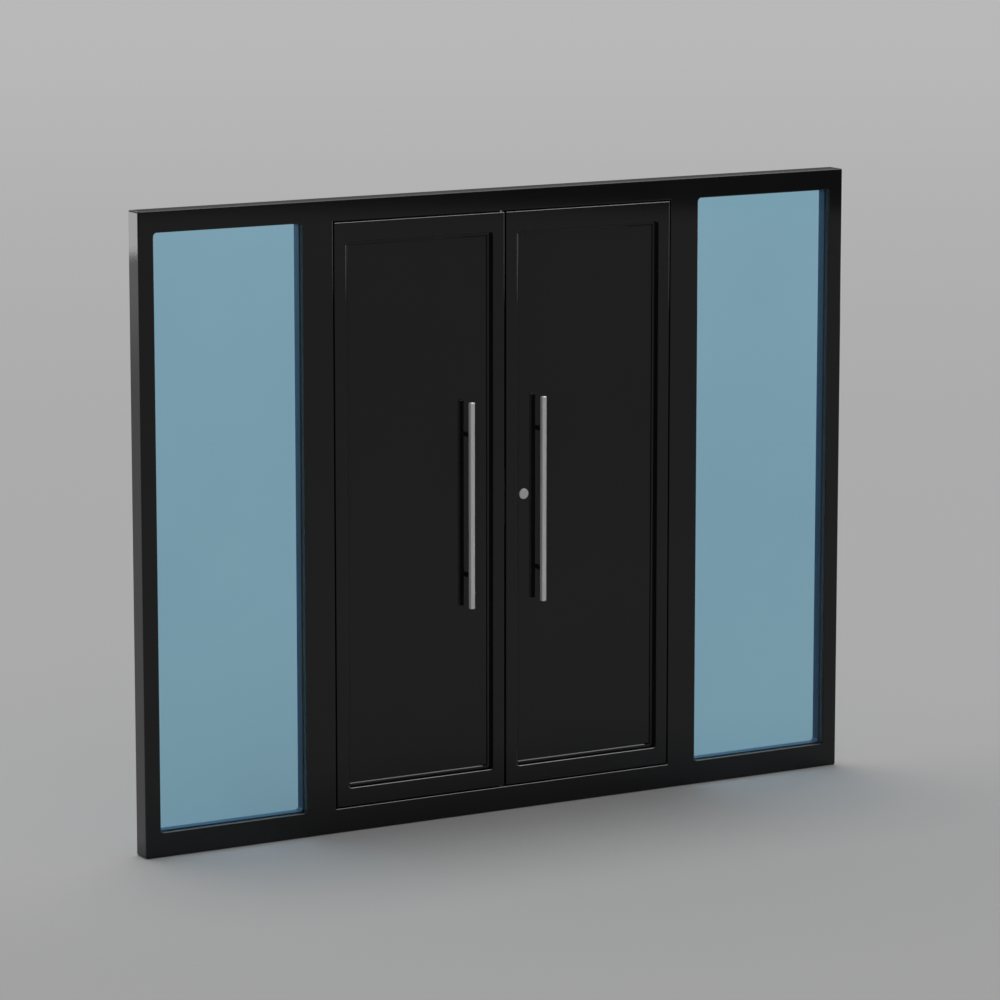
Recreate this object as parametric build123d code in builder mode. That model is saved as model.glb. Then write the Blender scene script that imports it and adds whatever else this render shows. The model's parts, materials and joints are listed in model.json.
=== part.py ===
from build123d import *
import os

# Double front door in steel: one flush frame with a sidelight at each end and
# a pair of panelled leaves that open inwards on barrel hinges.
# X runs to the right seen from outside, the outside faces -Y, Z is up.
# All sizes are in millimetres. Depths are measured back from the outside face.

# Frame
frame_height = 2400.0
frame_depth = 80.0
head_face = 80.0
sill_face = 94.0
jamb_face = 62.0
mullion_face = 125.0
sidelight_width = 609.0
sidelight_corner = 14.0
frame_corner = 8.0
outer_edge_round = 6.0
edge_round = 4.0
back_edge_bevel = 2.0

# Leaves
leaf_width = 728.0
leaf_depth = 50.0
edge_gap = 5.0
meeting_gap = 7.5
stile_face = 50.0
top_rail_face = 74.0
bottom_rail_face = 70.0
lip_width = 12.0
lip_thickness = 15.0
shoulder_depth = 26.0
recess_corner = 12.0

# Panels and their mouldings
panel_depth = 25.0
panel_thickness = 15.0
moulding_face = 15.0
moulding_thickness = 7.0
moulding_bevel = 3.0
back_moulding_thickness = 6.0

# Glazing
glass_rebate = 15.0
stop_thickness = 8.0
pane_thickness = 6.0
cavity_depth = 16.0
gasket_wall = 3.0
gasket_leg = 2.0
gasket_setback = 1.0
spacer_face = 8.0
bead_bevel = 3.0

# Door seal
seal_face = 8.0
seal_thickness = 2.5
seal_margin = 2.0

# Hinges
barrel_radius = 9.0
barrel_height = 55.0
pin_radius = 5.0
pin_length = 45.0
pin_clearance = 0.08
wing_thickness = 8.0
hinge_end_distance = 260.0
hinges_per_leaf = 3

# Pull bars
bar_side = 18.0
bar_length = 793.0
bar_bevel = 1.5
bar_bottom = 809.5
bar_from_centre = 157.5
bar_standoff = 42.0
post_side = 14.0
post_inset = 126.5

# Lock
lock_height = 1226.0
lock_from_centre = 93.0
rosette_radius = 20.0
rosette_thickness = 6.0
rosette_bevel = 1.0
turn_length = 30.0
turn_width = 10.0
turn_height = 18.0
plate_width = 22.0
plate_length = 220.0
plate_thickness = 3.0
bolt_plate_length = 160.0
bolt_plate_inset = 20.0

# Clearances
seat_gap = 0.3

# Places that follow from the sizes
front_y = -frame_depth / 2
leaf_inner_x = meeting_gap / 2
leaf_outer_x = leaf_inner_x + leaf_width
opening_half = leaf_outer_x + edge_gap
mullion_outer_x = opening_half + mullion_face
sidelight_outer_x = mullion_outer_x + sidelight_width
frame_width = 2 * (sidelight_outer_x + jamb_face)
opening_top = frame_height - head_face
opening_height = opening_top - sill_face
opening_mid_z = (opening_top + sill_face) / 2
leaf_height = opening_height - 2 * edge_gap
leaf_mid_x = (leaf_inner_x + leaf_outer_x) / 2
leaf_bottom = sill_face + edge_gap
leaf_top = opening_top - edge_gap
recess_bottom = leaf_bottom + bottom_rail_face
recess_top = leaf_top - top_rail_face
recess_middle = (leaf_mid_x, (recess_bottom + recess_top) / 2)
sidelight_mid_x = (mullion_outer_x + sidelight_outer_x) / 2
sidelight_middle = (sidelight_mid_x, opening_mid_z)
glazed_width = sidelight_width + 2 * glass_rebate
glazed_height = opening_height + 2 * glass_rebate
rebate_x = opening_half + lip_width
hinge_x = rebate_x - edge_gap - barrel_radius
hinge_depth = leaf_depth + edge_gap + barrel_radius
panel_back_depth = panel_depth + panel_thickness
pane_start = stop_thickness + gasket_leg
cavity_start = pane_start + pane_thickness
cavity_end = cavity_start + cavity_depth
pane_end = cavity_end + pane_thickness
bead_start = pane_end + gasket_leg

os.makedirs("parts", exist_ok=True)


def depth_plane(depth):
    """Sketch plane at a depth behind the outside face, seen from outside."""
    return Plane(origin=(0, front_y + depth, 0), x_dir=(1, 0, 0), z_dir=(0, -1, 0))


def save(solid, label):
    """Name one piece and write it to its own file."""
    solid.label = label
    export_step(solid, f"parts/{label}.step")


def save_left(solid, label):
    """Write the mirror image of a right-hand piece."""
    with BuildPart() as mirrored:
        mirror(solid, about=Plane.YZ)
    save(mirrored.part, label)


def save_both(solid, label):
    """Write a right-hand piece and its left-hand twin."""
    save(solid, f"right_{label}")
    save_left(solid, f"left_{label}")


def cut_member(whole, x_low, x_high, z_low, z_high):
    """Take one straight member out of a framework built in one go."""
    with BuildPart() as member:
        add(whole)
        with Locations(((x_low + x_high) / 2, 0, (z_low + z_high) / 2)):
            Box(x_high - x_low, 2 * frame_depth, z_high - z_low, mode=Mode.INTERSECT)
    return member.part


def outline(width, height, corner, mode=Mode.ADD):
    """A rectangle in the current sketch, with square corners where corner is zero."""
    if corner > 0:
        RectangleRounded(width, height, corner, mode=mode)
    else:
        Rectangle(width, height, mode=mode)


def sheet(middle, width, height, corner, near, far):
    """A flat sheet about a middle point, from depth near to far."""
    with BuildPart() as plate:
        with BuildSketch(depth_plane(far)):
            with Locations(middle):
                outline(width, height, corner)
        extrude(amount=far - near)
    return plate.part


def ring(middle, width, height, corner, face, inner_corner, near, far):
    """A rectangular ring about a middle point, from depth near to far."""
    with BuildPart() as band:
        with BuildSketch(depth_plane(far)):
            with Locations(middle):
                outline(width, height, corner)
                outline(width - 2 * face, height - 2 * face, inner_corner, Mode.SUBTRACT)
        extrude(amount=far - near)
    return band.part


# The whole frame in one go, so that its rounded edges run through the joints
with BuildPart() as door_frame:
    with BuildSketch(depth_plane(frame_depth)):
        with Locations((0, frame_height / 2)):
            RectangleRounded(frame_width, frame_height, frame_corner)
        with Locations((0, opening_mid_z)):
            Rectangle(2 * opening_half, opening_height, mode=Mode.SUBTRACT)
        with Locations((-sidelight_mid_x, opening_mid_z), (sidelight_mid_x, opening_mid_z)):
            RectangleRounded(sidelight_width, opening_height, sidelight_corner, mode=Mode.SUBTRACT)
    extrude(amount=frame_depth)
    with BuildSketch(depth_plane(frame_depth)):
        with Locations((0, opening_mid_z)):
            Rectangle(2 * rebate_x, opening_height + 2 * lip_width)
    extrude(amount=frame_depth - shoulder_depth, mode=Mode.SUBTRACT)
    with BuildSketch(depth_plane(frame_depth)):
        with Locations((-sidelight_mid_x, opening_mid_z), (sidelight_mid_x, opening_mid_z)):
            Rectangle(glazed_width, glazed_height)
    extrude(amount=frame_depth - stop_thickness, mode=Mode.SUBTRACT)
    outside = door_frame.faces().sort_by(Axis.Y)[0]
    fillet(outside.outer_wire().edges(), outer_edge_round)
    outside = door_frame.faces().sort_by(Axis.Y)[0]
    fillet([edge for wire in outside.inner_wires() for edge in wire.edges()], edge_round)
    chamfer(door_frame.faces().sort_by(Axis.Y)[-1].outer_wire().edges(), back_edge_bevel)

# The fixed glazing stop of each sidelight, and the members that carry the stops
half_width = frame_width / 2
glazed_low = mullion_outer_x - glass_rebate
glazed_high = sidelight_outer_x + glass_rebate
glazed_bottom = sill_face - glass_rebate
glazed_top = opening_top + glass_rebate
stop = cut_member(door_frame.part, glazed_low, glazed_high, glazed_bottom, glazed_top)
save_both(stop, "glazing_stop")
with BuildPart() as members:
    add(door_frame.part)
    with Locations((-sidelight_mid_x, 0, opening_mid_z), (sidelight_mid_x, 0, opening_mid_z)):
        Box(glazed_width, 2 * frame_depth, glazed_height, mode=Mode.SUBTRACT)
save(cut_member(members.part, -half_width, half_width, opening_top, frame_height), "head")
save(cut_member(members.part, -half_width, half_width, 0, sill_face), "sill")
save_both(cut_member(members.part, opening_half, glazed_low, sill_face, opening_top), "mullion")
save_both(cut_member(members.part, glazed_high, half_width, sill_face, opening_top), "jamb")

# Sidelight glazing: a unit of two panes with a spacer, whose edge sits in a channel
# gasket between the fixed stop and a bead that is flush with it
pane_inset = gasket_wall + seat_gap
pane_width = glazed_width - 2 * pane_inset
pane_height = glazed_height - 2 * pane_inset
with BuildPart() as panes:
    add(sheet(sidelight_middle, pane_width, pane_height, 0, pane_start, cavity_start))
    add(sheet(sidelight_middle, pane_width, pane_height, 0, cavity_end, pane_end))
save_both(panes.part, "glass")
spacer = ring(
    sidelight_middle, pane_width, pane_height, 0, spacer_face, 0, cavity_start, cavity_end
)
save_both(spacer, "spacer")
seated_width = glazed_width - 2 * seat_gap
seated_height = glazed_height - 2 * seat_gap
wall_face = gasket_wall - seat_gap
leg_face = glass_rebate - gasket_setback - seat_gap
with BuildPart() as gasket:
    for face, near, far in (
        (leg_face, stop_thickness, pane_start),
        (wall_face, pane_start, pane_end),
        (leg_face, pane_end, bead_start),
    ):
        add(ring(sidelight_middle, seated_width, seated_height, 0, face, 0, near, far))
save_both(gasket.part, "gasket")
bead_face = glass_rebate - seat_gap
with BuildPart() as glazing_bead:
    add(
        ring(
            sidelight_middle,
            seated_width,
            seated_height,
            0,
            bead_face,
            sidelight_corner,
            bead_start,
            frame_depth,
        )
    )
    chamfer(glazing_bead.faces().sort_by(Axis.Y)[-1].inner_wires()[0].edges(), bead_bevel)
save_both(glazing_bead.part, "glazing_bead")

# Seal on the frame's shoulder, where the lip of each leaf closes
seal_half = rebate_x - seal_margin
seal_height = opening_height + 2 * (lip_width - seal_margin)
seal_end = shoulder_depth + seal_thickness
door_seal = ring(
    (0, opening_mid_z), 2 * seal_half, seal_height, 0, seal_face, 0, shoulder_depth, seal_end
)
save(door_seal, "door_seal")

# Leaf framework in one go: flush front, lip at the back on three sides
recess_width = leaf_width - 2 * stile_face
recess_height = recess_top - recess_bottom
with BuildPart() as leaf_frame:
    with BuildSketch(depth_plane(leaf_depth)):
        with Locations((leaf_mid_x, opening_mid_z)):
            Rectangle(leaf_width, leaf_height)
    extrude(amount=leaf_depth)
    with BuildSketch(depth_plane(leaf_depth)):
        with Locations((leaf_mid_x + lip_width / 2, opening_mid_z)):
            Rectangle(leaf_width + lip_width, leaf_height + 2 * lip_width)
    extrude(amount=lip_thickness)
    with BuildSketch(depth_plane(leaf_depth)):
        with Locations(recess_middle):
            RectangleRounded(recess_width, recess_height, recess_corner)
    extrude(amount=leaf_depth, mode=Mode.SUBTRACT)
    fillet(leaf_frame.faces().sort_by(Axis.Y)[0].edges(), edge_round)
    chamfer(leaf_frame.faces().sort_by(Axis.Y)[-1].edges(), back_edge_bevel)

lip_bottom = leaf_bottom - lip_width
lip_top = leaf_top + lip_width
lip_x = leaf_outer_x + lip_width
save_both(cut_member(leaf_frame.part, leaf_inner_x, lip_x, recess_top, lip_top), "top_rail")
save_both(
    cut_member(leaf_frame.part, leaf_inner_x, lip_x, lip_bottom, recess_bottom), "bottom_rail"
)
hinge_stile_low = leaf_outer_x - stile_face - recess_corner
save_both(
    cut_member(leaf_frame.part, hinge_stile_low, lip_x, recess_bottom, recess_top), "hinge_stile"
)
meeting_high = leaf_inner_x + stile_face + recess_corner
plain_stile = cut_member(leaf_frame.part, leaf_inner_x, meeting_high, recess_bottom, recess_top)

# Plates let into the meeting edges: lock and strike, and the flush bolts of the left leaf
plate_place = (leaf_inner_x + plate_thickness / 2, front_y + leaf_depth / 2)


def edge_plates(length, heights, clearance=0.0):
    """Thin plates let into the meeting edge of the right leaf, or their pockets."""
    with BuildPart() as plates:
        with Locations(*[(*plate_place, height) for height in heights]):
            Box(plate_thickness, plate_width + 2 * clearance, length + 2 * clearance)
    return plates.part


bolt_offset = bolt_plate_inset + bolt_plate_length / 2
bolt_heights = [recess_bottom + bolt_offset, recess_top - bolt_offset]
with BuildPart() as lock_stile:
    add(plain_stile)
    add(edge_plates(plate_length, [lock_height], seat_gap), mode=Mode.SUBTRACT)
save(lock_stile.part, "right_meeting_stile")
with BuildPart() as bolt_stile:
    add(lock_stile.part)
    add(edge_plates(bolt_plate_length, bolt_heights, seat_gap), mode=Mode.SUBTRACT)
save_left(bolt_stile.part, "left_meeting_stile")
save(edge_plates(plate_length, [lock_height]), "lock_faceplate")
save_left(edge_plates(plate_length, [lock_height]), "strike_plate")
save_left(edge_plates(bolt_plate_length, bolt_heights), "flush_bolts")

# Panels with a bevelled moulding laid round them on each face
filling_width = recess_width - 2 * seat_gap
filling_height = recess_height - 2 * seat_gap
filling_corner = recess_corner - seat_gap
panel = sheet(
    recess_middle, filling_width, filling_height, filling_corner, panel_depth, panel_back_depth
)
save_both(panel, "panel")
moulding_width = moulding_face - seat_gap
front_start = panel_depth - moulding_thickness
back_end = panel_back_depth + back_moulding_thickness


def moulding(near, far):
    """A moulding round the panel, from depth near to far."""
    return ring(
        recess_middle,
        filling_width,
        filling_height,
        filling_corner,
        moulding_width,
        0,
        near,
        far,
    )


with BuildPart() as mouldings:
    add(moulding(front_start, panel_depth))
    chamfer(mouldings.faces().sort_by(Axis.Y)[0].inner_wires()[0].edges(), moulding_bevel)
    add(moulding(panel_back_depth, back_end))
save_both(mouldings.part, "mouldings")

# Barrel hinges: the lower half with the pin is on the mullion, the upper on the leaf
hinge_y = front_y + hinge_depth
leaf_back_y = front_y + leaf_depth
hinge_step = (leaf_height - 2 * hinge_end_distance) / (hinges_per_leaf - 1)
hinge_start = leaf_bottom + hinge_end_distance
hinge_heights = [hinge_start + count * hinge_step for count in range(hinges_per_leaf)]


def hinge_planes(offset):
    """One level sketch plane for each hinge, at an offset from where its halves meet."""
    return [Plane.XY.offset(height + offset) for height in hinge_heights]


with BuildPart() as frame_hinges:
    with BuildSketch(*hinge_planes(-barrel_height)):
        with Locations((hinge_x, hinge_y)):
            Circle(barrel_radius)
        with Locations(((hinge_x + rebate_x) / 2, hinge_y)):
            Rectangle(rebate_x - hinge_x, wing_thickness)
    extrude(amount=barrel_height)
    with BuildSketch(*hinge_planes(0)):
        with Locations((hinge_x, hinge_y)):
            Circle(pin_radius)
    extrude(amount=pin_length)
save_both(frame_hinges.part, "frame_hinges")

with BuildPart() as leaf_hinges:
    with BuildSketch(*hinge_planes(seat_gap)):
        with Locations((hinge_x, hinge_y)):
            Circle(barrel_radius)
        with Locations((hinge_x, (hinge_y + leaf_back_y) / 2)):
            Rectangle(wing_thickness, hinge_y - leaf_back_y)
    extrude(amount=barrel_height)
    with BuildSketch(*hinge_planes(seat_gap)):
        with Locations((hinge_x, hinge_y)):
            Circle(pin_radius + pin_clearance)
    extrude(amount=pin_length, mode=Mode.SUBTRACT)
save_both(leaf_hinges.part, "leaf_hinges")

# Square pull bars inside and outside, each on two posts that stand on the panel
outer_bar_y = front_y + panel_depth - bar_standoff
inner_bar_y = front_y + panel_back_depth + bar_standoff
bar_mid_z = bar_bottom + bar_length / 2
post_reach = bar_standoff - bar_side / 2
post_spacing = bar_length - 2 * post_inset
with BuildPart() as pull_bars:
    with Locations(
        (bar_from_centre, outer_bar_y, bar_mid_z), (bar_from_centre, inner_bar_y, bar_mid_z)
    ):
        Box(bar_side, bar_side, bar_length)
    chamfer(pull_bars.edges(), bar_bevel)
save_both(pull_bars.part, "pull_bars")

with BuildPart() as pull_posts:
    with BuildSketch(depth_plane(panel_depth), depth_plane(panel_back_depth + post_reach)):
        with Locations((bar_from_centre, bar_mid_z)):
            with GridLocations(0, post_spacing, 1, 2):
                Rectangle(post_side, post_side)
    extrude(amount=post_reach)
save_both(pull_posts.part, "pull_posts")

# Lock rosettes on both faces of the right leaf, with a thumb turn inside
turn_base = panel_back_depth + rosette_thickness
with BuildPart() as rosettes:
    with BuildSketch(depth_plane(panel_depth), depth_plane(turn_base)):
        with Locations((lock_from_centre, lock_height)):
            Circle(rosette_radius)
    extrude(amount=rosette_thickness)
    chamfer(rosettes.faces().sort_by(Axis.Y)[0].edges(), rosette_bevel)
save(rosettes.part, "lock_rosettes")

with BuildPart() as thumb_turn:
    with BuildSketch(depth_plane(turn_base + turn_height)):
        with Locations((lock_from_centre, lock_height)):
            SlotOverall(turn_length, turn_width, rotation=90)
    extrude(amount=turn_height)
save(thumb_turn.part, "thumb_turn")
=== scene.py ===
import json
import math
import bpy
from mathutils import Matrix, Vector


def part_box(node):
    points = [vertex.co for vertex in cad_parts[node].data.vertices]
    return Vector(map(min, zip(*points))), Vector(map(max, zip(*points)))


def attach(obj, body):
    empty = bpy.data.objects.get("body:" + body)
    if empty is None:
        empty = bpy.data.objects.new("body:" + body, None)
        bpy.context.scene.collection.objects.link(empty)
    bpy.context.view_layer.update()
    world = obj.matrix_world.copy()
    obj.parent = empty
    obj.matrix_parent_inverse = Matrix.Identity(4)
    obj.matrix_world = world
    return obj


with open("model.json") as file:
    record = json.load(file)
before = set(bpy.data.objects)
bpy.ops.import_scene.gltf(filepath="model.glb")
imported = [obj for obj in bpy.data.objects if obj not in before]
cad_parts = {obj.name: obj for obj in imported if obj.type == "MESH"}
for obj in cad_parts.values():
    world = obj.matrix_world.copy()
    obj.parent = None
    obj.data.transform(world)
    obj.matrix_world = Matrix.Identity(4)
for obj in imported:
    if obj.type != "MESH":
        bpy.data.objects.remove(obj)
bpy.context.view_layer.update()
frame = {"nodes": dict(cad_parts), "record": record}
nodes = frame["nodes"]
scene = bpy.context.scene

# Camera: place and focal length fitted to the straight edges of the picture
CAMERA_AT = (-8.7717, -15.0924, 4.2584)
CAMERA_YAW = math.radians(30.1626)
CAMERA_PITCH = math.radians(9.9149)
CAMERA_LENS = 167.224
CAMERA_SENSOR = 36.0
CAMERA_CLIP_END = 500.0

# Studio: floor and backdrop as the camera sees them, in linear light, with lengths in metres; the floor is
# painted darker ahead of the door than behind it, as painted shade
FLOOR_HALF = 60.0
FLOOR_ROUGHNESS = 0.9
# Floor colour ahead of the door and behind it: painted shade ahead, lighter behind
FLOOR_SHADED_COLOR_AHEAD = 0.385
FLOOR_LIT_COLOR_BEHIND = 0.432
FLOOR_SHADE_TURN = (-1.5, 1.0)
FLOOR_FADE = (3.5, 9.0)
BACKDROP_NEAR = 0.402
BACKDROP_FAR = 0.483
BACKDROP_RAMP = 42.0
SKY_FILL = 0.53
KEY_DIRECTION = (0.03, 0.23, 0.975)
KEY_ANGLE = math.radians(26.0)
KEY_STRENGTH = 1.36

# Painted reflections: the studio as only glossy rays see it: pale floor, dark room ahead, lit walls behind,
# softbox above
GLOSS_FLOOR_AHEAD = 0.335
GLOSS_FLOOR_BEHIND = 0.55
GLOSS_FLOOR_FAR_BEHIND = 0.90
GLOSS_ROOM_AHEAD = 0.075
GLOSS_ROOM_BEHIND = 0.13
GLOSS_ROOM_BEHIND_HIGH = 0.9
ROOM_BEHIND_RISE = (0.14, 0.24)
GLOSS_WALLS = 3.3
GLOSS_SOFTBOX = 12.0
SOFTBOX_DIRECTION = (0.50, -0.13, 0.86)
SOFTBOX_EDGE = (0.86, 0.93)
WALL_LEFT_EDGE = (-0.25, -0.40)
WALL_RIGHT_EDGE = (0.80, 0.90)
FLOOR_END_AHEAD = (20.8, 21.4)
FLOOR_RISE_BEHIND = (10.0, 15.5)
FLOOR_END_BEHIND = (16.5, 17.1)
FLOOR_END_SKEW = 1.12
FLOOR_TURN = (0.0, 0.3)
ROOM_TURN = (-0.3, 0.3)

# Finishes
PLAIN_GLOSS = 0.5
PAINT_IOR = 1.43
PAINT_ROUGHNESS = (0.018, 0.03)
PAINT_CLOUD_SCALE = 3.0
PAINT_PEEL_SCALE = 260.0
PAINT_PEEL_DEPTH = 0.00002
PAINT_COLORS = ((0.0044, 0.0044, 0.0045), (0.0053, 0.0053, 0.0054))
EDGE_SLOPE = (0.15, 0.35)
LEVEL_SLOPE = (0.90, 0.99)
BEAD_CLOUD_SCALE = 5.0
BEAD_OUTWARD = (0.5, 0.8)
BEAD_ROUGHNESS = (0.28, 0.36)
BEAD_BACK_ROUGHNESS = 0.03
# Inside the reveal: black paint with painted blue light, as through the tinted glass, and blue-tinted
# reflections
BEAD_REVEAL_BLUE_SHEEN = (0.04, 0.46, 0.95)
BEAD_REVEAL_PAINT_AND_BLUE_LIGHT = (0.003, 0.046, 0.094)
BEAD_REVEAL_GLOSS = 0.17
BEAD_BACK_COLOR = (0.0044, 0.0050, 0.0056)
STEEL_TONE = 0.63
STEEL_GRAIN_STRETCH = (900, 900, 12)
STEEL_GRAIN_DEPTH = 0.00002
STEEL_CLOUD_SCALE = 6.0
STEEL_CLOUD_GAIN = 1.05
STEEL_ROUGHNESS = (0.38, 0.50)
STEEL_METALLIC = 0.3
# Tone of the steel plates in the leaves' meeting gap, darkened as painted shade of the gap
GAP_PLATE_SHADED_TONE = 0.16
# Reflection level on upward-sloping edges, turned down as painted shade over their highlight
FRAME_EDGE_DIMMED_GLOSS = 0.08
MOULDING_EDGE_DIMMED_GLOSS = 0.15
STOP_EDGE_DIMMED_GLOSS = 0.18
GLASS_COLORS = ((0.658, 0.882, 0.985), (0.672, 0.896, 0.995))
GLASS_CLOUD_SCALE = 1.5
GLASS_ROUGHNESS = (0.0, 0.004)
GLASS_IOR = 1.3
GLASS_SHADOW = (0.67, 0.72, 0.76)
RUBBER_COLORS = ((0.008, 0.008, 0.008), (0.014, 0.014, 0.014))
RUBBER_GRAIN_SCALE = 180.0
RUBBER_GRAIN_DEPTH = 0.0001
RUBBER_ROUGHNESS = (0.6, 0.75)
SPACER_COLORS = ((0.020, 0.028, 0.036), (0.028, 0.036, 0.046))
SPACER_GRAIN_SCALE = 90.0
SPACER_GRAIN_DEPTH = 0.00005
SPACER_ROUGHNESS = (0.35, 0.5)

# Small screws: a domed head as reach and height in head radii, and if the ring is six-sided
SCREW_PROFILE = (
    (1.0, -0.06, False),
    (1.0, 0.04, False),
    (0.86, 0.16, False),
    (0.56, 0.22, True),
    (0.50, 0.02, True),
)
SCREW_STEPS = 12
SOCKET_SIDE = math.pi / 3
BEAD_SCREW_RADIUS = 0.0035
BEAD_SCREW_INSET = 0.0055
BEAD_SCREW_END = 0.06
UPRIGHT_SCREWS = 8
LEVEL_SCREWS = 3
PLATE_SCREW_RADIUS = 0.004
PLATE_GAP_FACE = 0.00375
PLATE_SCREW_INSET = 0.012
BOLT_PLATE_LENGTH = 0.160
BOLT_SCREW_FAR = BOLT_PLATE_LENGTH - PLATE_SCREW_INSET
# Each plate, its body, the side of the gap that it is on, and its screws' heights from both ends
PLATE_SCREWS = (
    ("lock_faceplate", "right_leaf", 1.0, (PLATE_SCREW_INSET,)),
    ("strike_plate", "left_leaf", -1.0, (PLATE_SCREW_INSET,)),
    ("flush_bolts", "left_leaf", -1.0, (PLATE_SCREW_INSET, BOLT_SCREW_FAR)),
)

camera_data = bpy.data.cameras.new("camera")
camera = bpy.data.objects.new("camera", camera_data)
scene.collection.objects.link(camera)
camera_data.sensor_width = CAMERA_SENSOR
camera_data.lens = CAMERA_LENS
camera_data.clip_end = CAMERA_CLIP_END
camera.location = CAMERA_AT
camera.rotation_euler = (math.pi / 2 - CAMERA_PITCH, 0.0, -CAMERA_YAW)
scene.camera = camera
scene.view_settings.view_transform = "Standard"


def node_material(name):
    """A new material with its node tree, principled shader and output."""
    material = bpy.data.materials.new(name)
    material.use_nodes = True
    tree = material.node_tree
    shader = tree.nodes["Principled BSDF"]
    return material, tree, shader


def object_coordinates(tree, scale=(1, 1, 1)):
    """Object coordinates, stretched as asked."""
    coordinates = tree.nodes.new("ShaderNodeTexCoord")
    mapping = tree.nodes.new("ShaderNodeMapping")
    mapping.inputs["Scale"].default_value = scale
    tree.links.new(coordinates.outputs["Object"], mapping.inputs["Vector"])
    return mapping.outputs["Vector"]


def noise(tree, vector, scale, detail=3.0, roughness=0.5):
    """A noise texture on the given coordinates."""
    texture = tree.nodes.new("ShaderNodeTexNoise")
    texture.inputs["Scale"].default_value = scale
    texture.inputs["Detail"].default_value = detail
    texture.inputs["Roughness"].default_value = roughness
    tree.links.new(vector, texture.inputs["Vector"])
    return texture.outputs["Fac"]


def spread(tree, value, low, high):
    """Map a texture value from 0.3..0.7 to low..high."""
    ranger = tree.nodes.new("ShaderNodeMapRange")
    ranger.inputs["From Min"].default_value = 0.3
    ranger.inputs["From Max"].default_value = 0.7
    ranger.inputs["To Min"].default_value = low
    ranger.inputs["To Max"].default_value = high
    tree.links.new(value, ranger.inputs["Value"])
    return ranger.outputs["Result"]


def bump(tree, shader, height, distance):
    """Bump from a height value, in metres."""
    node = tree.nodes.new("ShaderNodeBump")
    node.inputs["Distance"].default_value = distance
    tree.links.new(height, node.inputs["Height"])
    tree.links.new(node.outputs["Normal"], shader.inputs["Normal"])


def two_tone(tree, value, first, second):
    """A colour between two by a texture value."""
    ramp = tree.nodes.new("ShaderNodeValToRGB")
    ramp.color_ramp.elements[0].position = 0.35
    ramp.color_ramp.elements[0].color = (*first, 1.0)
    ramp.color_ramp.elements[1].position = 0.65
    ramp.color_ramp.elements[1].color = (*second, 1.0)
    tree.links.new(value, ramp.inputs["Fac"])
    return ramp.outputs["Color"]


def socket_or_number(tree, value, socket):
    """Feed a socket from another socket, or set it to a number."""
    if hasattr(value, "links"):
        tree.links.new(value, socket)
    else:
        socket.default_value = value


def between(tree, value, low, high, first=0.0, second=1.0):
    """Run from first to second, smoothly, as a value runs from low to high."""
    ranger = tree.nodes.new("ShaderNodeMapRange")
    ranger.interpolation_type = "SMOOTHSTEP"
    ranger.inputs["From Min"].default_value = low
    ranger.inputs["From Max"].default_value = high
    socket_or_number(tree, first, ranger.inputs["To Min"])
    socket_or_number(tree, second, ranger.inputs["To Max"])
    tree.links.new(value, ranger.inputs["Value"])
    return ranger.outputs["Result"]


def facing(tree, axis):
    """How far a face points along one axis of the part."""
    normal = tree.nodes.new("ShaderNodeNewGeometry").outputs["True Normal"]
    split = tree.nodes.new("ShaderNodeSeparateXYZ")
    tree.links.new(normal, split.inputs["Vector"])
    return split.outputs[axis]


def gloss_paint(name, dimmed_edge_gloss=PLAIN_GLOSS):
    """Gloss black paint on steel, with the faint orange peel of a sprayed coat; on upward-sloping edges its
    reflection can be turned down, as painted shade over the highlight there.
    """
    material, tree, shader = node_material(name)
    vector = object_coordinates(tree)
    cloud = noise(tree, vector, PAINT_CLOUD_SCALE)
    peel = noise(tree, vector, PAINT_PEEL_SCALE, 2.0)
    color = two_tone(tree, cloud, *PAINT_COLORS)
    tree.links.new(color, shader.inputs["Base Color"])
    tree.links.new(spread(tree, cloud, *PAINT_ROUGHNESS), shader.inputs["Roughness"])
    shader.inputs["IOR"].default_value = PAINT_IOR
    # Painted shade: the reflection is turned down on edges that slope upward, by which way the face points
    upward = facing(tree, "Z")
    sloped = between(tree, upward, *EDGE_SLOPE, PLAIN_GLOSS, dimmed_edge_gloss)
    gloss = between(tree, upward, *LEVEL_SLOPE, sloped, PLAIN_GLOSS)
    tree.links.new(gloss, shader.inputs["Specular IOR Level"])
    bump(tree, shader, peel, PAINT_PEEL_DEPTH)
    return material


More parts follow.
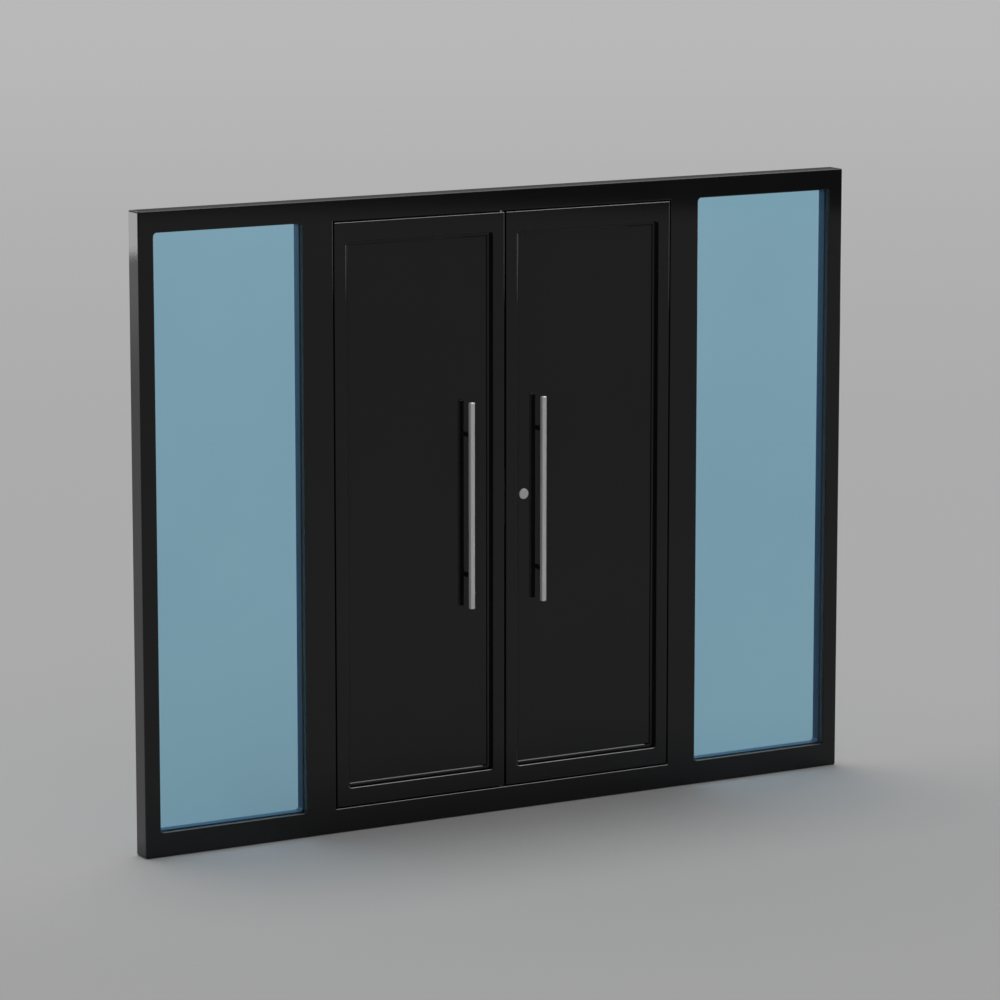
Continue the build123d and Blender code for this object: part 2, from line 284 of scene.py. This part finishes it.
def bead_paint():
    """Black paint of the glazing beads: satin inside the reveal, with painted blue light and blue-tinted
    reflections there, glossy on the back.
    """
    material, tree, shader = node_material("bead_black_paint")
    vector = object_coordinates(tree)
    cloud = noise(tree, vector, BEAD_CLOUD_SCALE)
    outward = between(tree, facing(tree, "Y"), *BEAD_OUTWARD)
    color = tree.nodes.new("ShaderNodeCombineColor")
    # Painted light: the reveal's colour is blue, standing in for light that came through the tinted glass
    for channel, reveal, back in zip(color.inputs, BEAD_REVEAL_PAINT_AND_BLUE_LIGHT, BEAD_BACK_COLOR):
        reveal = spread(tree, cloud, 0.9 * reveal, 1.1 * reveal)
        tree.links.new(between(tree, outward, 0.0, 1.0, reveal, back), channel)
    tree.links.new(color.outputs["Color"], shader.inputs["Base Color"])
    shader.inputs["IOR"].default_value = PAINT_IOR
    gloss = between(tree, outward, 0.0, 1.0, BEAD_REVEAL_GLOSS, PLAIN_GLOSS)
    tree.links.new(gloss, shader.inputs["Specular IOR Level"])
    satin = spread(tree, cloud, *BEAD_ROUGHNESS)
    roughness = between(tree, outward, 0.0, 1.0, satin, BEAD_BACK_ROUGHNESS)
    tree.links.new(roughness, shader.inputs["Roughness"])
    # Painted reflection: the reveal's reflections are tinted blue
    tint = tree.nodes.new("ShaderNodeCombineColor")
    for channel, level in zip(tint.inputs, BEAD_REVEAL_BLUE_SHEEN):
        tree.links.new(between(tree, outward, 0.0, 1.0, level, 1.0), channel)
    tree.links.new(tint.outputs["Color"], shader.inputs["Specular Tint"])
    bump(tree, shader, noise(tree, vector, PAINT_PEEL_SCALE, 2.0), PAINT_PEEL_DEPTH)
    return material


def brushed_steel(name, tone):
    """Satin grey steel, brushed along its length."""
    material, tree, shader = node_material(name)
    grain = noise(tree, object_coordinates(tree, STEEL_GRAIN_STRETCH), 1.0, 4.0)
    cloud = noise(tree, object_coordinates(tree), STEEL_CLOUD_SCALE)
    lighter = tone * STEEL_CLOUD_GAIN
    color = two_tone(tree, cloud, (tone, tone, tone), (lighter, lighter, lighter))
    tree.links.new(color, shader.inputs["Base Color"])
    tree.links.new(spread(tree, grain, *STEEL_ROUGHNESS), shader.inputs["Roughness"])
    shader.inputs["Metallic"].default_value = STEEL_METALLIC
    bump(tree, shader, grain, STEEL_GRAIN_DEPTH)
    return material


def tinted_glass():
    """Clear float glass with a blue tint."""
    material, tree, shader = node_material("tinted_glass")
    cloud = noise(tree, object_coordinates(tree), GLASS_CLOUD_SCALE)
    color = two_tone(tree, cloud, *GLASS_COLORS)
    tree.links.new(color, shader.inputs["Base Color"])
    tree.links.new(spread(tree, cloud, *GLASS_ROUGHNESS), shader.inputs["Roughness"])
    shader.inputs["Transmission Weight"].default_value = 1.0
    shader.inputs["IOR"].default_value = GLASS_IOR
    clear = tree.nodes.new("ShaderNodeBsdfTransparent")
    clear.inputs["Color"].default_value = (*GLASS_SHADOW, 1.0)
    rays = tree.nodes.new("ShaderNodeLightPath")
    passing = tree.nodes.new("ShaderNodeMixShader")
    tree.links.new(rays.outputs["Is Shadow Ray"], passing.inputs["Fac"])
    tree.links.new(shader.outputs["BSDF"], passing.inputs[1])
    tree.links.new(clear.outputs["BSDF"], passing.inputs[2])
    tree.links.new(passing.outputs["Shader"], tree.nodes["Material Output"].inputs["Surface"])
    return material


def rubber():
    """Matt black sealing rubber."""
    material, tree, shader = node_material("black_rubber")
    grain = noise(tree, object_coordinates(tree), RUBBER_GRAIN_SCALE)
    color = two_tone(tree, grain, *RUBBER_COLORS)
    tree.links.new(color, shader.inputs["Base Color"])
    tree.links.new(spread(tree, grain, *RUBBER_ROUGHNESS), shader.inputs["Roughness"])
    bump(tree, shader, grain, RUBBER_GRAIN_DEPTH)
    return material


def spacer_plastic():
    """Dark plastic of the spacer between the panes."""
    material, tree, shader = node_material("spacer_plastic")
    grain = noise(tree, object_coordinates(tree), SPACER_GRAIN_SCALE)
    color = two_tone(tree, grain, *SPACER_COLORS)
    tree.links.new(color, shader.inputs["Base Color"])
    tree.links.new(spread(tree, grain, *SPACER_ROUGHNESS), shader.inputs["Roughness"])
    bump(tree, shader, grain, SPACER_GRAIN_DEPTH)
    return material


FRAME_NODES = ("head", "left_jamb", "right_jamb")
MOULDING_NODES = ("left_mouldings", "right_mouldings")
STOP_NODES = ("left_glazing_stop", "right_glazing_stop")
BEAD_NODES = ("left_glazing_bead", "right_glazing_bead")
EDGE_PLATE_NODES = ("strike_plate", "lock_faceplate", "flush_bolts")

# Finishes of the nodes that differ from their slot's, and then of each slot
own_finishes = dict.fromkeys(FRAME_NODES, gloss_paint("frame_black_paint", FRAME_EDGE_DIMMED_GLOSS))
own_finishes.update(dict.fromkeys(MOULDING_NODES, gloss_paint("moulding_black_paint", MOULDING_EDGE_DIMMED_GLOSS)))
own_finishes.update(dict.fromkeys(STOP_NODES, gloss_paint("stop_black_paint", STOP_EDGE_DIMMED_GLOSS)))
own_finishes.update(dict.fromkeys(BEAD_NODES, bead_paint()))
# Painted shade: the plates and their screws in the gap between the leaves are steel of a dark tone,
# standing in for the gap's shade
own_finishes.update(dict.fromkeys(EDGE_PLATE_NODES, brushed_steel("gap_shaded_steel", GAP_PLATE_SHADED_TONE)))
finishes = {
    "black_steel": gloss_paint("gloss_black_paint"),
    "satin_steel": brushed_steel("brushed_steel", STEEL_TONE),
    "tinted_glass": tinted_glass(),
    "black_rubber": rubber(),
    "spacer_plastic": spacer_plastic(),
}
for entry in frame["record"]["subparts"]:
    node = nodes[entry["node"]]
    finish = own_finishes.get(node.name, finishes[entry["material_slot"]])
    for index in range(len(node.material_slots)):
        node.material_slots[index].material = finish
    if not node.material_slots:
        node.data.materials.append(finish)


def screw_heads(name, body, places, outward, finish, radius):
    """Low domed heads with a six-sided socket, one at each place, facing outward."""
    normal = Vector(outward)
    side = normal.orthogonal().normalized()
    other = normal.cross(side)
    verts, faces = [], []
    for place in places:
        start = len(verts)
        for reach, height, six_sided in SCREW_PROFILE:
            for step in range(SCREW_STEPS):
                angle = 2 * math.pi * step / SCREW_STEPS
                bend = math.cos(SOCKET_SIDE / 2) / math.cos(angle % SOCKET_SIDE - SOCKET_SIDE / 2)
                spoke = radius * reach * (bend if six_sided else 1.0)
                turn = side * math.cos(angle) + other * math.sin(angle)
                verts.append(Vector(place) + turn * spoke + normal * radius * height)
        for ring in range(len(SCREW_PROFILE) - 1):
            low = start + ring * SCREW_STEPS
            for step in range(SCREW_STEPS):
                follow = (step + 1) % SCREW_STEPS
                high = low + SCREW_STEPS
                faces.append((low + step, low + follow, high + follow, high + step))
        last = start + (len(SCREW_PROFILE) - 1) * SCREW_STEPS
        faces.append(tuple(range(last, last + SCREW_STEPS)))
    mesh = bpy.data.meshes.new(name)
    mesh.from_pydata(verts, [], faces)
    mesh.materials.append(finish)
    screws = bpy.data.objects.new(name, mesh)
    scene.collection.objects.link(screws)
    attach(screws, body)


def evenly(low, high, count):
    """Evenly spaced values from low to high."""
    return [low + (high - low) * step / (count - 1) for step in range(count)]


# Screws that hold the glazing beads, and those of the lock and bolt plates
for side in ("left", "right"):
    low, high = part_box(side + "_glazing_bead")
    left, right = low.x + BEAD_SCREW_INSET, high.x - BEAD_SCREW_INSET
    bottom, top = low.z + BEAD_SCREW_INSET, high.z - BEAD_SCREW_INSET
    upright = evenly(bottom + BEAD_SCREW_END, top - BEAD_SCREW_END, UPRIGHT_SCREWS)
    level = evenly(left + BEAD_SCREW_END, right - BEAD_SCREW_END, LEVEL_SCREWS)
    bead_places = [(x, high.y, z) for x in (left, right) for z in upright]
    bead_places += [(x, high.y, z) for z in (bottom, top) for x in level]
    black = finishes["black_steel"]
    screw_heads(side + "_bead_screws", "frame", bead_places, (0.0, 1.0, 0.0), black, BEAD_SCREW_RADIUS)

for plate, body, hand, heights in PLATE_SCREWS:
    low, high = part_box(plate)
    middle = (low.y + high.y) / 2
    levels = [low.z + height for height in heights] + [high.z - height for height in heights]
    places = [(hand * PLATE_GAP_FACE, middle, z) for z in levels]
    outward = (-hand, 0.0, 0.0)
    screw_heads(plate + "_screws", body, places, outward, own_finishes[plate], PLATE_SCREW_RADIUS)


def math_of(tree, operation, first, second):
    """One operation on two values, each a number or a socket."""
    node = tree.nodes.new("ShaderNodeMath")
    node.operation = operation
    socket_or_number(tree, first, node.inputs[0])
    socket_or_number(tree, second, node.inputs[1])
    return node.outputs["Value"]


def mixed(tree, factor, first, second):
    """Blend two shaders by a factor socket."""
    node = tree.nodes.new("ShaderNodeMixShader")
    tree.links.new(factor, node.inputs["Fac"])
    tree.links.new(first, node.inputs[1])
    tree.links.new(second, node.inputs[2])
    return node.outputs["Shader"]


def glow(tree, strength, kind="ShaderNodeEmission"):
    """Neutral light whose strength is a number or a socket."""
    node = tree.nodes.new(kind)
    node.inputs["Color"].default_value = (1.0, 1.0, 1.0, 1.0)
    socket_or_number(tree, strength, node.inputs["Strength"])
    return node.outputs[0]


def mirror_rays(tree):
    """One for rays a glossy surface reflects, nought for seen and transmitted ones."""
    rays = tree.nodes.new("ShaderNodeLightPath")
    straight = math_of(tree, "SUBTRACT", 1.0, rays.outputs["Is Transmission Ray"])
    return math_of(tree, "MULTIPLY", rays.outputs["Is Glossy Ray"], straight)


def plain_rays(tree):
    """One for rays straight from the camera or through the glass."""
    rays = tree.nodes.new("ShaderNodeLightPath")
    return math_of(tree, "MAXIMUM", rays.outputs["Is Camera Ray"], rays.outputs["Is Transmission Ray"])


def wall_at(tree, bearing, edge, between_walls):
    """A lit wall to one side, from an edge onwards, and what lies before it."""
    return between(tree, bearing, *edge, between_walls, GLOSS_WALLS)


def stage_floor():
    """Pale floor, painted darker ahead of the door as painted shade, that fades into the backdrop with
    distance; to glossy rays it glows at set strengths, a painted reflection.
    """
    mesh = bpy.data.meshes.new("floor")
    half = FLOOR_HALF
    corners = [(-half, -half, 0.0), (half, -half, 0.0), (half, half, 0.0), (-half, half, 0.0)]
    mesh.from_pydata(corners, [], [(0, 1, 2, 3)])
    floor = bpy.data.objects.new("floor", mesh)
    scene.collection.objects.link(floor)
    material, tree, shader = node_material("floor")
    shader.inputs["Roughness"].default_value = FLOOR_ROUGHNESS
    shader.inputs["Specular IOR Level"].default_value = 0.0
    coordinates = tree.nodes.new("ShaderNodeTexCoord")
    length = tree.nodes.new("ShaderNodeVectorMath")
    length.operation = "LENGTH"
    tree.links.new(coordinates.outputs["Object"], length.inputs[0])
    distance = length.outputs["Value"]
    split = tree.nodes.new("ShaderNodeSeparateXYZ")
    tree.links.new(coordinates.outputs["Object"], split.inputs["Vector"])
    across, depth = split.outputs["X"], split.outputs["Y"]
    # Painted shade: the floor's colour is darker ahead of the door than behind it
    shade = between(tree, depth, *FLOOR_SHADE_TURN, FLOOR_SHADED_COLOR_AHEAD, FLOOR_LIT_COLOR_BEHIND)
    tree.links.new(shade, shader.inputs["Base Color"])
    near = shader.outputs["BSDF"]
    fade = between(tree, distance, *FLOOR_FADE)
    backdrop = glow(tree, between(tree, distance, 0.0, BACKDROP_RAMP, BACKDROP_NEAR, BACKDROP_FAR))
    seen = mixed(tree, fade, near, backdrop)
    # Painted reflection: glossy rays see the floor as a glow at set strengths, except the lit floor just
    # ahead of the door
    bearing = math_of(tree, "DIVIDE", across, distance)
    ahead = between(tree, distance, *FLOOR_END_AHEAD, GLOSS_FLOOR_AHEAD, GLOSS_ROOM_AHEAD)
    away = math_of(tree, "MAXIMUM", depth, math_of(tree, "MULTIPLY", across, FLOOR_END_SKEW))
    room = wall_at(tree, bearing, WALL_LEFT_EDGE, GLOSS_ROOM_BEHIND)
    room = wall_at(tree, bearing, WALL_RIGHT_EDGE, room)
    behind = between(tree, away, *FLOOR_RISE_BEHIND, GLOSS_FLOOR_BEHIND, GLOSS_FLOOR_FAR_BEHIND)
    behind = between(tree, away, *FLOOR_END_BEHIND, behind, room)
    wall = wall_at(tree, bearing, WALL_RIGHT_EDGE, ahead)
    aside = between(tree, away, *FLOOR_END_BEHIND, ahead, wall)
    turned = between(tree, depth, *FLOOR_TURN)
    mirrored = mixed(tree, turned, mixed(tree, fade, near, glow(tree, aside)), glow(tree, behind))
    shown = mixed(tree, mirror_rays(tree), seen, mirrored)
    tree.links.new(shown, tree.nodes["Material Output"].inputs["Surface"])
    mesh.materials.append(material)
    material.cycles.emission_sampling = "NONE"


def studio_world():
    """Even light from all round, with a plain backdrop for the camera, and a painted reflection of a room,
    lit walls and a softbox that only glossy rays see.
    """
    world = bpy.data.worlds.new("world")
    scene.world = world
    world.use_nodes = True
    tree = world.node_tree
    coordinates = tree.nodes.new("ShaderNodeTexCoord")
    split = tree.nodes.new("ShaderNodeSeparateXYZ")
    tree.links.new(coordinates.outputs["Generated"], split.inputs["Vector"])
    towards = tree.nodes.new("ShaderNodeVectorMath")
    towards.operation = "DOT_PRODUCT"
    tree.links.new(coordinates.outputs["Generated"], towards.inputs[0])
    towards.inputs[1].default_value = Vector(SOFTBOX_DIRECTION).normalized()
    # Painted reflection: a room, lit walls and a softbox that only glossy rays see
    high = between(tree, split.outputs["Z"], *ROOM_BEHIND_RISE, GLOSS_ROOM_BEHIND, GLOSS_ROOM_BEHIND_HIGH)
    high = wall_at(tree, split.outputs["X"], WALL_LEFT_EDGE, high)
    room = between(tree, split.outputs["Y"], *ROOM_TURN, GLOSS_ROOM_AHEAD, high)
    room = wall_at(tree, split.outputs["X"], WALL_RIGHT_EDGE, room)
    room = between(tree, towards.outputs["Value"], *SOFTBOX_EDGE, room, GLOSS_SOFTBOX)
    kind = "ShaderNodeBackground"
    shown = mixed(tree, mirror_rays(tree), glow(tree, SKY_FILL, kind), glow(tree, room, kind))
    shown = mixed(tree, plain_rays(tree), shown, glow(tree, BACKDROP_FAR, kind))
    tree.links.new(shown, tree.nodes["World Output"].inputs["Surface"])


def key_light():
    """Large soft light overhead, a little behind the door."""
    data = bpy.data.lights.new("key", "SUN")
    data.angle = KEY_ANGLE
    data.energy = KEY_STRENGTH
    light = bpy.data.objects.new("key", data)
    scene.collection.objects.link(light)
    light.rotation_euler = Vector(KEY_DIRECTION).to_track_quat("Z", "Y").to_euler()


stage_floor()
studio_world()
key_light()
